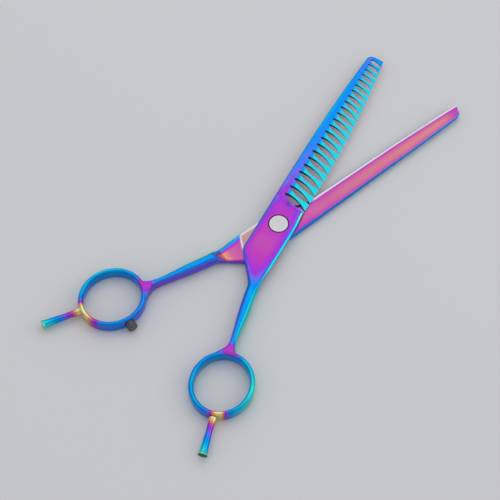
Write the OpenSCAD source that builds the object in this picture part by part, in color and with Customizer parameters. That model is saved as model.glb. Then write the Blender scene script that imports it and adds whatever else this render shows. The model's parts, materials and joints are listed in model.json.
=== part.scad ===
// Thinning shears: a toothed half and a plain half that turn on a tension pivot.
// Each half is drawn in its own frame: u runs from the pivot to the blade tip, v towards the
// spine, w towards the half's outer face, with w = 0 on the plane where the two halves slide.
// The assembly frame has its origin on the pivot axis at the surface the shears lie on.
// +X lies midway between the two blades, +Z points up out of the toothed half's outer face.

/* [Pose] */
// Angle between the two blades as the shears lie at rest, degrees
open_angle = 24; // [6:1:60]

/* [Blades] */
// Distance from the pivot to the tip of the toothed blade
toothed_reach = 92.4; // [86:0.2:98]
// Distance from the pivot to the tip of the plain blade
plain_reach = 94.6; // [86:0.2:98]
// Thickness of each half around the pivot
pivot_thickness = 2.3; // [2:0.1:2.6]
// Thickness of the blades at their tips
tip_thickness = 1.3; // [1:0.1:1.6]
// Clearance between each half and the plane where they slide
slide_gap = 0.05; // [0.03:0.01:0.1]

/* [Teeth] */
// Number of slots between the teeth
slot_count = 23; // [16:1:23]
// Distance between neighbouring slots at the tip
tip_pitch = 2.85; // [2.6:0.05:2.9]
// Distance between neighbouring slots at the pivot end
heel_pitch = 4.1; // [3.6:0.05:4.15]
// Lean of the slots back towards the pivot, degrees
slot_lean = 17; // [10:1:20]
// Widest part of a slot as a share of the distance between slots
slot_share = 0.7; // [0.4:0.05:0.75]
// Width of the gap between two tooth tips
slot_mouth = 0.5; // [0.3:0.05:0.7]
// Thickness of the tooth tips
tooth_tip_thickness = 0.7; // [0.5:0.1:1]

/* [Handles] */
// Long inner radius of a finger ring
ring_long = 11.5; // [10:0.05:12]
// Short inner radius of a finger ring
ring_short = 10.45; // [9.5:0.05:11]
// Width of the ring's bar, seen from above
bar_width = 2.1; // [2:0.1:2.6]
// Height of the rings, which is the height of the shears
ring_height = 5.4; // [5:0.1:6]

/* [Finger rests and bumper] */
// Length of a finger rest outside its ring
rest_length = 15.7; // [10:0.1:18]
// Radius of a finger rest's end flange
rest_flange_r = 1.95; // [1.8:0.05:2.2]
// Radius of the rubber bumper
bumper_r = 2; // [1.6:0.1:2.2]
// Length of the bumper outside its ring
bumper_length = 3.1; // [2.6:0.1:3.4]

/* [Pivot] */
// Radius of the flat head of the pivot stud
head_r = 3.85; // [3.5:0.05:4.2]
// Thickness of the head
head_thickness = 0.9; // [0.8:0.05:1]
// Radius of the stud's smooth barrel
barrel_r = 2; // [1.8:0.05:2.2]
// Radius of the stud's threaded end
thread_r = 1.5; // [1.3:0.05:1.6]
// Radial clearance of the turning fits
running_clearance = 0.03; // [0.02:0.01:0.05]

/* [Hidden] */
$fn = 64;

// Heights
half_height = ring_height / 2;
recess_gap = 0.25;
head_proud = 0.1;
head_seat_w = pivot_thickness + head_proud - head_thickness;

// Outline of the ricasso, the thick flat part around the pivot
edge_v = -6.8;
spine_v = 7.5;
heel_u = -16.8;
bevel_width = 0.9;
bevel_drop = 0.6;
inner_bevel = 0.12;
bevel_round = 0.3;

// Finger rings
ring_u = -71.5;
ring_v = -13.65;
ring_turn = 6.4;
bar_round_v = 0.95;
bar_round_w = 1.25;
ring_steps = 48;

// Finger rests: each screws into the back of its ring, in line with the ring's centre
rest_turn = 180 + 14.7;
rest_seat = ring_long + bar_width - 0.25;
rest_thread_r = 1;
rest_thread_length = 1.8;
rest_socket_r = rest_thread_r + running_clearance;

// Bumper: plugs into the side of the plain half's ring that faces the other ring
bumper_turn = 93;
bumper_seat = ring_short + bar_width - 0.25;
bumper_stem_r = 0.7;
bumper_stem_length = 1.5;

// Pivot stack, from the slide plane down through the plain half
washer_r = 5.2;
washer_thickness = 0.3;
washer_sink = washer_thickness - slide_gap;
bushing_r = 2.6;
nut_r = 3.2;
nut_thickness = 0.95;
nut_pocket_r = 3.5;
spring_thickness = 0.35;
nut_floor_w = half_height - nut_thickness - spring_thickness;
key_hole_r = 0.4;
key_hole_offset = 2.35;

// ---- Lofted forms -------------------------------------------------------------------------

// One rounded or bevelled corner of a section, from its side (s = 0) to its face (s = 1).
// side and face are +1 or -1, a and b the corner's size along v and w, k 0 bevelled, 1 round.
corner_steps = 3;
function corner_point(v, w, side, face, a, b, k, s) =
    let (dv = k * (1 - cos(90 * s)) + (1 - k) * s, dw = k * (1 - sin(90 * s)) + (1 - k) * (1 - s))
    [v - side * a * dv, w - face * b * dw];

function corner(v, w, side, face, a, b, k, back) =
    [for (i = [0:corner_steps])
        corner_point(v, w, side, face, a, b, k, (back ? corner_steps - i : i) / corner_steps)];

// A closed section between v0 and v1, w0 and w1, with its outer corners ao by bo and its
// inner ones ai by bi
function section(v0, v1, w0, w1, ao, bo, ai, bi, k) = concat(
    corner(v1, w0, 1, -1, ai, bi, k, true),
    corner(v1, w1, 1, 1, ao, bo, k, false),
    corner(v0, w1, -1, 1, ao, bo, k, true),
    corner(v0, w0, -1, -1, ai, bi, k, false));

// Solid skin over sections that all have the same number of points
module skin(rows, closed) {
    n = len(rows[0]);
    m = len(rows);
    last = closed ? m - 1 : m - 2;
    sides = [for (j = [0:last], i = [0:n - 1])
        let (p = j * n, q = ((j + 1) % m) * n, r = (i + 1) % n) each
            [[p + i, q + i, q + r], [p + i, q + r, p + r]]];
    caps = closed ? [] : [[for (i = [0:n - 1]) i], [for (i = [n - 1:-1:0]) (m - 1) * n + i]];
    polyhedron([for (row = rows, p = row) p], concat(sides, caps));
}

// Station rows hold u, v0, v1, w0, w1 and the corner values of section()
function station(r) = [for (p = section(r[1], r[2], r[3], r[4], r[5], r[6], r[7], r[8], r[9]))
    [r[0], p[0], p[1]]];

// ---- Handle and ricasso --------------------------------------------------------------------

// Round shank, flaring to a flat web at the ring: u, v0, v1, half the height, roundness
shank_rows = [
    [-62.5, -17.5, -4.6, 2.6, 0.18],
    [-60.2, -15.3, -6.0, 2.6, 0.22],
    [-58.2, -12.6, -7.1, 2.55, 0.34],
    [-56.0, -10.9, -7.7, 2.45, 0.55],
    [-53.0, -10.0, -7.3, 2.35, 0.72],
    [-48.5, -9.3, -6.1, 2.3, 0.8],
    [-43.5, -8.7, -4.8, 2.35, 0.8],
    [-38.5, -8.0, -3.6, 2.4, 0.8],
    [-34.0, -7.2, -2.7, 2.4, 0.8],
    [-30.0, -6.6, -2.0, 2.35, 0.8]];

function shank_station(r) =
    let (a = r[4] * (r[2] - r[1]) / 2, b = r[4] * r[3])
    station([r[0], r[1], r[2], -r[3], r[3], a, b, a, b, 1]);

// Shoulder: u, v0, v1, how far the inner side stands past the slide plane, and roundness.
// Where the closed halves cross it lies back from the slide plane, behind the ride surface.
ride_step = 0.15;
shoulder_rows = [
    [-28.6, -6.45, -1.5, 1.75, 0.7],
    [-27.0, -6.3, -0.5, 0.8, 0.55],
    [-25.6, -6.3, 0.45, 0.1, 0.45],
    [-24.2, -6.3, 1.65, -ride_step, 0.38],
    [-21.5, -6.4, 3.7, -ride_step, 0.3],
    [-19.2, -6.5, 5.4, -ride_step, 0.22]];

function shoulder_station(r) =
    let (a = r[4] * (r[2] - r[1]) / 2, b = r[4] * pivot_thickness)
    station([r[0], r[1], r[2], -r[3], pivot_thickness, a, b, a * 0.6, b * 0.6, 1]);

function flat_station(u, v0, v1, w1) =
    station([u, v0, v1, slide_gap, w1, bevel_width, bevel_drop, inner_bevel, inner_bevel,
        bevel_round]);

ricasso_rows = [
    flat_station(heel_u, edge_v + 0.2, 7.2, pivot_thickness),
    flat_station(heel_u + 2.5, edge_v + 0.1, spine_v, pivot_thickness),
    flat_station(0, edge_v, spine_v, pivot_thickness)];

handle_rows = concat(
    [for (r = shank_rows) shank_station(r)],
    [for (r = shoulder_rows) shoulder_station(r)],
    ricasso_rows);

// ---- Blades --------------------------------------------------------------------------------

tooth_start = 10.6;
grind_start = 8.6;
spine_bend_u = 35;
toothed_spine_drop = 2.3;
tooth_line_v = -6.2;
tooth_line_end = -1.5;
tooth_line_bulge = 1.75;
tip_round = 1.4;

function share(u, from, to) = (u - from) / (to - from);
function blade_w(u, reach) = pivot_thickness - (pivot_thickness - tip_thickness)
    * max(0, share(u, tooth_start, reach));

// The toothed blade's spine is straight, then bends slowly towards the edge
function toothed_spine(u) = spine_v
    - toothed_spine_drop * pow(max(0, share(u, spine_bend_u, toothed_reach)), 2);
// The line of tooth tips is a shallow arc
function tooth_line(u) = let (s = share(u, tooth_start, toothed_reach))
    tooth_line_v + (tooth_line_end - tooth_line_v) * s - 4 * tooth_line_bulge * s * (1 - s);

toothed_rows = [for (s = [0.0:0.1:1])
    let (u = tooth_start + (toothed_reach - tip_round - tooth_start) * s)
    flat_station(u, tooth_line(u), toothed_spine(u), blade_w(u, toothed_reach))];
toothed_tip_rows = [for (a = [45:45:90])
    let (u = toothed_reach - tip_round * (1 - sin(a)))
    flat_station(u, tooth_line(u), toothed_spine(u) - tip_round * (1 - cos(a)),
        tip_thickness)];

// The plain blade narrows from the ricasso to a straight cutting edge
plain_edge_v = -1.9;
plain_edge_end = -1.15;
plain_spine_start = 7.0;
plain_spine_end = 4.0;
plain_spine_bulge = 0.45;
plain_neck = [3, 17];
plain_tip_slant = 1.4;
edge_land = 0.1;
plain_bevel_width = 3.2;
plain_bevel_height = 1.6;

function ease(s) = s <= 0 ? 0 : s >= 1 ? 1 : s * s * (3 - 2 * s);
function plain_edge(u) = edge_v + (plain_edge_v - edge_v) * ease(share(u, plain_neck[0], plain_neck[1]))
    + (plain_edge_end - plain_edge_v) * pow(max(0, share(u, 50, plain_reach)), 2);
function plain_spine(u) = let (s = share(u, 0, plain_reach))
    plain_spine_start + (plain_spine_end - plain_spine_start) * s
    + 4 * plain_spine_bulge * s * (1 - s) * s;

plain_rows = [for (u = [plain_neck[0], 6.5, 10, 13.5, plain_neck[1], 30, 45, 60, 75, 86,
        plain_reach - 3.6])
    flat_station(u, plain_edge(u), plain_spine(u), blade_w(u, plain_reach))];
plain_tip_rows = [
    flat_station(plain_reach - 1.6, plain_edge(plain_reach), plain_spine_end - 0.6, tip_thickness),
    flat_station(plain_reach - 0.5, plain_edge(plain_reach), plain_spine_end - plain_tip_slant,
        tip_thickness),
    flat_station(plain_reach, plain_edge(plain_reach) + 0.1, plain_edge_end + 2.2,
        tip_thickness)];

// Slots: their roots stand on a line near the spine
first_slot_u = toothed_reach - 1.95;
function slot_pitch(i) = tip_pitch + (heel_pitch - tip_pitch) * i / (slot_count - 2);
function slot_u(i) = i == 0 ? first_slot_u : slot_u(i - 1) - slot_pitch(i - 1);
function slot_root_v(u) = 4.65 - 0.012 * u;
slot_sides = 9;

// Half width of a slot from its round root (s = 0) to its mouth (s = 1), as a share
function slot_shape(s) = pow(max(0, sin(180 * pow(s, 0.85))), 0.65);

module slot(i) {
    u = slot_u(i);
    root = slot_root_v(u);
    length = (root - tooth_line(u - 2)) / cos(slot_lean);
    wide = slot_pitch(min(i, slot_count - 2)) * cos(slot_lean) * slot_share / 2;
    side = [for (k = [1:slot_sides]) let (s = k / slot_sides)
        [s * length, max(wide * slot_shape(s), s > 0.5 ? slot_mouth / 2 : 0)]];
    translate([u, root, -1])
        rotate(-90 - slot_lean)
            linear_extrude(pivot_thickness + 2)
                polygon(concat([[0, wide * 0.22]], side, [[length + 2, slot_mouth / 2],
                    [length + 2, -slot_mouth / 2]],
                    [for (k = [slot_sides - 1:-1:0]) [side[k][0], -side[k][1]]],
                    [[0, -wide * 0.22]]));
}

// The teeth are ground down from the spine strip to their thin tips, with a step at the ricasso
module tooth_grind() {
    fall = atan((pivot_thickness - 0.2 - tooth_tip_thickness) / (4.2 - tooth_line_v));
    taper = atan((pivot_thickness - tip_thickness) / (toothed_reach - tooth_start));
    translate([grind_start, 4.2, pivot_thickness - 0.2])
        rotate([fall, taper, 0])
            translate([0, -20, 0])
                cube([100, 20, 5]);
}

// Outer side of the cutting edge, ground to a keen edge
module edge_grind() {
    translate([plain_neck[1] - 4, plain_edge_v, edge_land])
        rotate([atan(plain_bevel_height / plain_bevel_width), 0, 0])
            translate([0, -3, 0])
                cube([100, 11, 5]);
}

// ---- Finger ring ---------------------------------------------------------------------------

module at_ring() {
    translate([ring_u, ring_v, 0]) children();
}

function ring_row(t) =
    let (a = ring_long + bar_width / 2, b = ring_short + bar_width / 2,
        n = [b * cos(t), a * sin(t)] / norm([b * cos(t), a * sin(t)]))
    [for (p = section(-bar_width / 2, bar_width / 2, -half_height, half_height,
            bar_round_v, bar_round_w, bar_round_v, bar_round_w, 1))
        [a * cos(t) + n[0] * p[0], b * sin(t) + n[1] * p[0], p[1]]];

module finger_ring() {
    at_ring() rotate(ring_turn)
        skin([for (j = [0:ring_steps - 1]) ring_row(-360 * j / ring_steps)], true);
}

// The handle's flare stops inside the ring's bar
module ring_core() {
    a = ring_long + bar_width / 2;
    b = ring_short + bar_width / 2;
    at_ring() rotate(ring_turn) translate([0, 0, -half_height - 1])
        linear_extrude(ring_height + 2)
            polygon([for (j = [0:ring_steps - 1]) let (t = 360 * j / ring_steps)
                [a * cos(t), b * sin(t)]]);
}

// Puts a child that stands along +Z onto the ring's radius at an angle
module on_ring(turn) {
    at_ring() rotate(turn) rotate([0, 90, 0]) children();
}

module rest_socket() {
    on_ring(rest_turn) {
        translate([0, 0, rest_seat - 3.2]) cylinder(r = rest_socket_r, h = 4);
        translate([0, 0, rest_seat]) cylinder(r = rest_flange_r, h = 3);
    }
}

// ---- Halves --------------------------------------------------------------------------------

module forging(blade_rows) {
    difference() {
        skin(concat(handle_rows, blade_rows), false);
        ring_core();
    }
    finger_ring();
}

module place_toothed() {
    translate([0, 0, half_height]) rotate(open_angle / 2) children();
}

module place_plain() {
    translate([0, 0, half_height]) rotate(-open_angle / 2) rotate([180, 0, 0]) children();
}

module toothed_half() {
    color([0.25, 0.62, 0.88])
    place_toothed()
    difference() {
        forging(concat([flat_station(tooth_start - 0.4, edge_v + 0.4, spine_v, pivot_thickness)],
            toothed_rows, toothed_tip_rows));
        tooth_grind();
        for (i = [0:slot_count - 1]) slot(i);
        translate([0, 0, -1]) cylinder(r = barrel_r, h = 5);
        translate([0, 0, head_seat_w]) cylinder(r = head_r + recess_gap, h = 3);
        rest_socket();
    }
}

module plain_half() {
    color([0.74, 0.36, 0.78])
    place_plain()
    difference() {
        forging(concat(plain_rows, plain_tip_rows));
        edge_grind();
        translate([0, 0, -1]) cylinder(r = bushing_r, h = 5);
        translate([0, 0, -1]) cylinder(r = washer_r + 0.1, h = 1 + washer_sink);
        translate([0, 0, nut_floor_w]) cylinder(r = nut_pocket_r, h = 3);
        rest_socket();
        on_ring(bumper_turn) {
            translate([0, 0, bumper_seat - bumper_stem_length])
                cylinder(r = bumper_stem_r, h = 3);
            translate([0, 0, bumper_seat]) cylinder(r = bumper_r + 0.1, h = 3);
        }
    }
}

// ---- Pivot ---------------------------------------------------------------------------------

module pivot_stud() {
    shoulder_w = -nut_floor_w + 0.1;
    color([0.8, 0.8, 0.82])
    translate([0, 0, half_height])
    rotate_extrude()
        polygon([[0, -half_height], [thread_r, -half_height], [thread_r, shoulder_w],
            [barrel_r, shoulder_w], [barrel_r, head_seat_w], [head_r, head_seat_w],
            [head_r, head_seat_w + head_thickness - 0.15],
            [head_r - 0.15, head_seat_w + head_thickness], [0, head_seat_w + head_thickness]]);
}

module pivot_bushing() {
    color([0.72, 0.6, 0.35])
    translate([0, 0, half_height - nut_floor_w])
        difference() {
            cylinder(r = bushing_r, h = nut_floor_w - washer_sink);
            translate([0, 0, -1]) cylinder(r = barrel_r + running_clearance, h = 4);
        }
}

module glide_washer() {
    color([0.93, 0.93, 0.9])
    translate([0, 0, half_height - washer_sink])
        difference() {
            cylinder(r = washer_r, h = washer_thickness - 0.03);
            translate([0, 0, -1]) cylinder(r = barrel_r + 0.1, h = 3);
        }
}

// Dished washer that keeps the halves pressed together
module spring_washer() {
    outer = nut_pocket_r - 0.15;
    inner = thread_r + 0.1;
    sheet = 0.2;
    color([0.6, 0.62, 0.66])
    translate([0, 0, half_height - nut_floor_w - spring_thickness])
        rotate_extrude()
            polygon([[inner, 0], [inner + 0.3, 0], [outer, spring_thickness - sheet],
                [outer, spring_thickness], [outer - 0.3, spring_thickness], [inner, sheet]]);
}

module tension_nut() {
    color([0.55, 0.57, 0.6])
    difference() {
        cylinder(r = nut_r, h = nut_thickness);
        translate([0, 0, -1]) cylinder(r = thread_r + running_clearance, h = 3);
        for (side = [-1, 1]) translate([side * key_hole_offset, 0, -1])
            cylinder(r = key_hole_r, h = 1.6, $fn = 32);
    }
}

// ---- Finger rests and bumper ----------------------------------------------------------------

// Turned finger rest: threaded stud, collar, waist, long flare and end flange
module finger_rest() {
    flange = 0.45;
    collar_r = 1.6;
    waist_r = 1.25;
    color([0.45, 0.55, 0.9])
    on_ring(rest_turn) translate([0, 0, rest_seat]) rotate_extrude()
        polygon([[0, -rest_thread_length], [rest_thread_r - 0.2, -rest_thread_length],
            [rest_thread_r, -rest_thread_length + 0.2], [rest_thread_r, 0],
            [collar_r - 0.1, 0], [collar_r, 0.1], [collar_r - 0.05, 1],
            [collar_r - 0.15, rest_length * 0.12], [collar_r - 0.27, rest_length * 0.19],
            [waist_r + 0.04, rest_length * 0.28], [waist_r, rest_length * 0.36],
            [waist_r + 0.1, rest_length * 0.5], [waist_r + 0.27, rest_length * 0.77],
            [waist_r + 0.43, rest_length - 1],
            [rest_flange_r, rest_length - flange], [rest_flange_r, rest_length - 0.1],
            [rest_flange_r - 0.1, rest_length], [0, rest_length]]);
}

module plain_finger_rest() { place_plain() finger_rest(); }

module toothed_finger_rest() { place_toothed() finger_rest(); }

module bumper() {
    color([0.35, 0.35, 0.38])
    place_plain() on_ring(bumper_turn) translate([0, 0, bumper_seat]) rotate_extrude()
        polygon([[0, -bumper_stem_length], [bumper_stem_r, -bumper_stem_length],
            [bumper_stem_r, 0], [bumper_r, 0], [bumper_r, bumper_length - 0.3],
            [bumper_r - 0.3, bumper_length], [0, bumper_length]]);
}

plain_half();
toothed_half();
pivot_stud();
pivot_bushing();
glide_washer();
spring_washer();
tension_nut();
bumper();
plain_finger_rest();
toothed_finger_rest();
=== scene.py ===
import json
import math

import bmesh
import bpy
from mathutils import Matrix, Vector


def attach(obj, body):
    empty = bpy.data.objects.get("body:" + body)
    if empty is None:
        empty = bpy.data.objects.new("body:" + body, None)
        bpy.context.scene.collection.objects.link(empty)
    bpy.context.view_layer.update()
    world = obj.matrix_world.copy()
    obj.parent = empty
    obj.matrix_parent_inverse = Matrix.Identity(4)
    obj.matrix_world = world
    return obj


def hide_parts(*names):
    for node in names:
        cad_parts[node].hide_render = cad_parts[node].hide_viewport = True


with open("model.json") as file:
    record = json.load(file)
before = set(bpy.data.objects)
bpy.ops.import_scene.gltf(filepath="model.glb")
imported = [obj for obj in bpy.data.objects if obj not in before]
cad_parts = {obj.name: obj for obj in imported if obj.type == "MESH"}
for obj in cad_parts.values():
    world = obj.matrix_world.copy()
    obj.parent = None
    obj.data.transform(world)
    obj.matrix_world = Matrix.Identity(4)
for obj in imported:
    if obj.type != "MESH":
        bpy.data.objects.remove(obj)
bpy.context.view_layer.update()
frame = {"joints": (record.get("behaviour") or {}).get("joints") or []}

# Thinning shears with a rainbow coating. Lengths in this script are millimetres in each half's
# own frame (u to the blade tip, v to the spine, w out of the outer face) until MM turns them
# into metres. w = 0 is the plane where the two halves slide on each other.
MM = 0.001
joints = {j["name"]: j for j in frame["joints"]}


# ---- Camera ----------------------------------------------------------------------------------

VIEW_AZIMUTH = -49.53
VIEW_ELEVATION = 61.06
VIEW_DISTANCE = 0.6108
AIM_FROM_PIVOT = (-0.0156, 0.0017)
LENS = 110.8

pivot_pos = Vector(joints["pivot"]["pos_m"])
HALF_HEIGHT = pivot_pos.z / MM


def make_camera():
    aim = pivot_pos + Vector((AIM_FROM_PIVOT[0], AIM_FROM_PIVOT[1], 0))
    az, el = math.radians(VIEW_AZIMUTH - 90), math.radians(VIEW_ELEVATION)
    away = Vector((math.cos(el) * math.cos(az), math.cos(el) * math.sin(az), math.sin(el)))
    data = bpy.data.cameras.new("camera")
    data.lens = LENS
    camera = bpy.data.objects.new("camera", data)
    camera.location = aim + away * VIEW_DISTANCE
    camera.rotation_euler = (-away).to_track_quat("-Z", "Y").to_euler()
    bpy.context.scene.collection.objects.link(camera)
    bpy.context.scene.camera = camera


make_camera()


# ---- Sizes: the CAD model's, apart from the last group ---------------------------------------

OPEN_ANGLE = 24
TOOTHED_REACH = 92.4
PLAIN_REACH = 94.6
PIVOT_THICKNESS = 2.3
TIP_THICKNESS = 1.3
SLIDE_GAP = 0.05
RUNNING_CLEARANCE = 0.03

# Forging
EDGE_V = -6.8
SPINE_V = 7.5
HEEL_U = -16.8
HEEL_EDGE_V, HEEL_SPINE_V = EDGE_V + 0.2, 7.2
HEEL_LENGTH = 2.5
BEVEL_WIDTH = 0.9
BEVEL_DROP = 0.6
INNER_BEVEL = 0.12
BEVEL_ROUND = 0.3
RIDE_STEP = 0.15

# Finger ring, its rest and the bumper
RING_U, RING_V = -71.5, -13.65
RING_TURN = 6.4
RING_LONG, RING_SHORT = 11.5, 10.45
BAR_WIDTH = 2.1
BAR_ROUND_V, BAR_ROUND_W = 0.95, 1.25
REST_TURN = 180 + 14.7
REST_LENGTH = 15.7
REST_SEAT = RING_LONG + BAR_WIDTH - 0.25
REST_FLANGE_R = 1.95
REST_THREAD_R = 1.0
REST_THREAD_LENGTH = 1.8
BUMPER_TURN = 93
BUMPER_SEAT = RING_SHORT + BAR_WIDTH - 0.25
BUMPER_R = 2.0
BUMPER_LENGTH = 3.1
BUMPER_STEM_R = 0.7
BUMPER_STEM_LENGTH = 1.5

# Toothed blade
TOOTH_START = 10.6
TOOTH_TIP_THICKNESS = 0.7
TOOTH_LINE_V, TOOTH_LINE_END, TOOTH_LINE_BULGE = -6.2, -1.5, 1.75
TOOTHED_SPINE_BEND_U, TOOTHED_SPINE_DROP = 35, 2.3
TIP_ROUND = 1.4
GRIND_V, GRIND_DROP = 4.2, 0.2
SLOT_COUNT = 23
FIRST_SLOT_U = TOOTHED_REACH - 1.95
SLOT_ROOT_V, SLOT_ROOT_FALL = 4.65, 0.012
TIP_PITCH, HEEL_PITCH = 2.85, 4.1
SLOT_LEAN = 17
SLOT_SHARE = 0.7
SLOT_MOUTH = 0.5

# Plain blade
PLAIN_NECK = (3.0, 17.0)
PLAIN_EDGE_V, PLAIN_EDGE_END, PLAIN_EDGE_BEND_U = -1.9, -1.15, 50
PLAIN_SPINE_V, PLAIN_SPINE_END, PLAIN_SPINE_BULGE = 7.0, 4.0, 0.45
EDGE_LAND = 0.1
PLAIN_BEVEL_SLOPE = 0.5

# Pivot
HEAD_R, HEAD_THICKNESS, HEAD_PROUD = 3.85, 0.9, 0.1
HEAD_SEAT_W = PIVOT_THICKNESS + HEAD_PROUD - HEAD_THICKNESS
BARREL_R, THREAD_R = 2.0, 1.5
WASHER_R, WASHER_THICKNESS = 5.2, 0.3
WASHER_SINK = WASHER_THICKNESS - SLIDE_GAP
BUSHING_R = 2.6
NUT_R, NUT_THICKNESS, NUT_POCKET_R = 3.2, 0.95, 3.5
KEY_HOLE_R, KEY_HOLE_DEPTH, KEY_HOLE_OFFSET = 0.4, 0.6, 2.35
SPRING_THICKNESS, SPRING_SHEET = 0.35, 0.2
NUT_FLOOR_W = HALF_HEIGHT - NUT_THICKNESS - SPRING_THICKNESS

# Only here, or a few tenths off the CAD model for the looks
GRIND_START = 9.1
RECESS_R = HEAD_R + 0.36
END_BEVEL = 0.35
MOON_U, MOON_SLANT, MOON_CURVE = -17.85, 0.36, 0.026
PLAIN_TIP_LENGTH = 3.6
PLAIN_SPINE_EASE = 3.2
HOLLOW_START, HOLLOW_DEPTH = 8, 0.13
REST_SOCKET_DEPTH = 3.2
CUT_PAST = 1  # how far a cutter reaches past a surface
NO_CAP = 9  # higher than any piece


# ---- Small helpers ---------------------------------------------------------------------------

def clamp(x, low=0.0, high=1.0):
    return max(low, min(high, x))


def share(x, low, high):
    return (x - low) / (high - low)


def smooth(x, low=0.0, high=1.0):
    s = clamp(share(x, low, high))
    return s * s * (3 - 2 * s)


def mix(a, b, s):
    return a + (b - a) * s


def along(pairs, x):
    """Value at x on a line through (x, value) pairs, eased between them."""
    if x <= pairs[0][0]:
        return pairs[0][1]
    for (x0, y0), (x1, y1) in zip(pairs, pairs[1:]):
        if x <= x1:
            return mix(y0, y1, smooth(x, x0, x1))
    return pairs[-1][1]


def spline_rows(rows, per_row):
    """Rows of numbers with smooth Catmull-Rom rows between them."""
    out = []
    for i in range(len(rows) - 1):
        a = rows[max(i - 1, 0)]
        b, c = rows[i], rows[i + 1]
        d = rows[min(i + 2, len(rows) - 1)]
        for k in range(per_row):
            s = k / per_row
            out.append([
                0.5 * (2 * q + (r - p) * s + (2 * p - 5 * q + 4 * r - t) * s * s
                       + (3 * q - p - 3 * r + t) * s ** 3)
                for p, q, r, t in zip(a, b, c, d)])
    out.append(list(rows[-1]))
    return out


# ---- Frames of the two halves ----------------------------------------------------------------

LIFT = Matrix.Translation((0, 0, HALF_HEIGHT * MM))
TO_METRES = Matrix.Scale(MM, 4)
PLACE_TOOTHED = LIFT @ Matrix.Rotation(math.radians(OPEN_ANGLE / 2), 4, "Z") @ TO_METRES
PLACE_PLAIN = (LIFT @ Matrix.Rotation(math.radians(-OPEN_ANGLE / 2), 4, "Z")
               @ Matrix.Rotation(math.pi, 4, "X") @ TO_METRES)
PLACE_PIVOT = LIFT @ TO_METRES


def on_ring(turn, distance):
    """Matrix that stands a lathed piece on the ring's radius, at a distance from its centre."""
    return (Matrix.Translation((RING_U, RING_V, 0)) @ Matrix.Rotation(math.radians(turn), 4, "Z")
            @ Matrix.Rotation(math.pi / 2, 4, "Y") @ Matrix.Translation((0, 0, distance)))


# ---- Meshes ----------------------------------------------------------------------------------

def new_object(name, verts, faces):
    mesh = bpy.data.meshes.new(name)
    mesh.from_pydata([tuple(v) for v in verts], [], faces)
    mesh.validate()
    bm = bmesh.new()
    bm.from_mesh(mesh)
    bmesh.ops.recalc_face_normals(bm, faces=bm.faces)
    bm.to_mesh(mesh)
    bm.free()
    obj = bpy.data.objects.new(name, mesh)
    bpy.context.scene.collection.objects.link(obj)
    return obj


def skin_mesh(rows, closed=False):
    """Vertices and faces of a skin over rings of points."""
    n, m = len(rows[0]), len(rows)
    verts = [p for row in rows for p in row]
    faces = []
    for j in range(m if closed else m - 1):
        p, q = j * n, ((j + 1) % m) * n
        faces += [(p + i, q + i, q + (i + 1) % n, p + (i + 1) % n) for i in range(n)]
    if not closed:
        faces.append(tuple(range(n)))
        faces.append(tuple((m - 1) * n + i for i in range(n - 1, -1, -1)))
    return verts, faces


def off_axis(profile):
    """A profile that starts away from the axis closes on itself."""
    return profile[0][0] > 1e-6


def lathe_mesh(profile, segments=96):
    """Solid turned about Z from (radius, height) points; it may start and end on the axis or
    close on itself as a washer does."""
    ring = [(math.cos(2 * math.pi * k / segments), math.sin(2 * math.pi * k / segments))
            for k in range(segments)]
    verts, faces, rows = [], [], []
    for r, z in profile:
        if r < 1e-6:
            rows.append([len(verts)])
            verts.append((0, 0, z))
        else:
            rows.append(list(range(len(verts), len(verts) + segments)))
            verts += [(r * c, r * s, z) for c, s in ring]
    pairs = list(zip(rows, rows[1:])) + ([(rows[-1], rows[0])] if off_axis(profile) else [])
    for a, b in pairs:
        for k in range(segments):
            n = (k + 1) % segments
            if len(a) == 1:
                faces.append((a[0], b[k], b[n]))
            elif len(b) == 1:
                faces.append((a[k], b[0], a[n]))
            else:
                faces.append((a[k], b[k], b[n], a[n]))
    return verts, faces


def rounded(profile, radius, steps=4):
    """The profile with each inner corner turned into a small arc."""
    out = [profile[0]]
    for a, b, c in zip(profile, profile[1:], profile[2:]):
        p, q, r = Vector(a), Vector(b), Vector(c)
        cut = min(radius, (p - q).length * 0.45, (r - q).length * 0.45)
        start, end = q + (p - q).normalized() * cut, q + (r - q).normalized() * cut
        for k in range(steps + 1):
            s = k / steps
            out.append(tuple(start * (1 - s) ** 2 + q * 2 * s * (1 - s) + end * s * s))
    out.append(profile[-1])
    return out


def join_meshes(parts):
    verts, faces = [], []
    for part_verts, part_faces in parts:
        offset = len(verts)
        verts += [Vector(v) for v in part_verts]
        faces += [tuple(i + offset for i in face) for face in part_faces]
    return verts, faces


def moved(mesh, matrix):
    return [matrix @ Vector(v) for v in mesh[0]], mesh[1]


def boolean(obj, mesh, operation):
    """Applies one exact boolean with a temporary tool object."""
    tool = new_object("tool", *mesh)
    modifier = obj.modifiers.new("cut", "BOOLEAN")
    modifier.operation = operation
    modifier.solver = "EXACT"
    modifier.object = tool
    depsgraph = bpy.context.evaluated_depsgraph_get()
    result = bpy.data.meshes.new_from_object(obj.evaluated_get(depsgraph))
    obj.modifiers.remove(modifier)
    obj.data = result
    bpy.data.objects.remove(tool)


def shade(obj, angle=35):
    """Smooth shading with sharp edges over the angle."""
    mesh = obj.data
    bm = bmesh.new()
    bm.from_mesh(mesh)
    bmesh.ops.remove_doubles(bm, verts=bm.verts, dist=1e-4)
    bmesh.ops.dissolve_degenerate(bm, edges=bm.edges, dist=1e-5)
    limit = math.radians(angle)
    for edge in bm.edges:
        sharp = len(edge.link_faces) != 2 or edge.calc_face_angle(0) > limit
        edge.smooth = not sharp
    for face in bm.faces:
        face.smooth = True
    bm.to_mesh(mesh)
    bm.free()


# ---- Sections of a forging -------------------------------------------------------------------

CORNER_STEPS = 6
FLAT_STEPS = 22
BLADE_STEPS = 150


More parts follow.
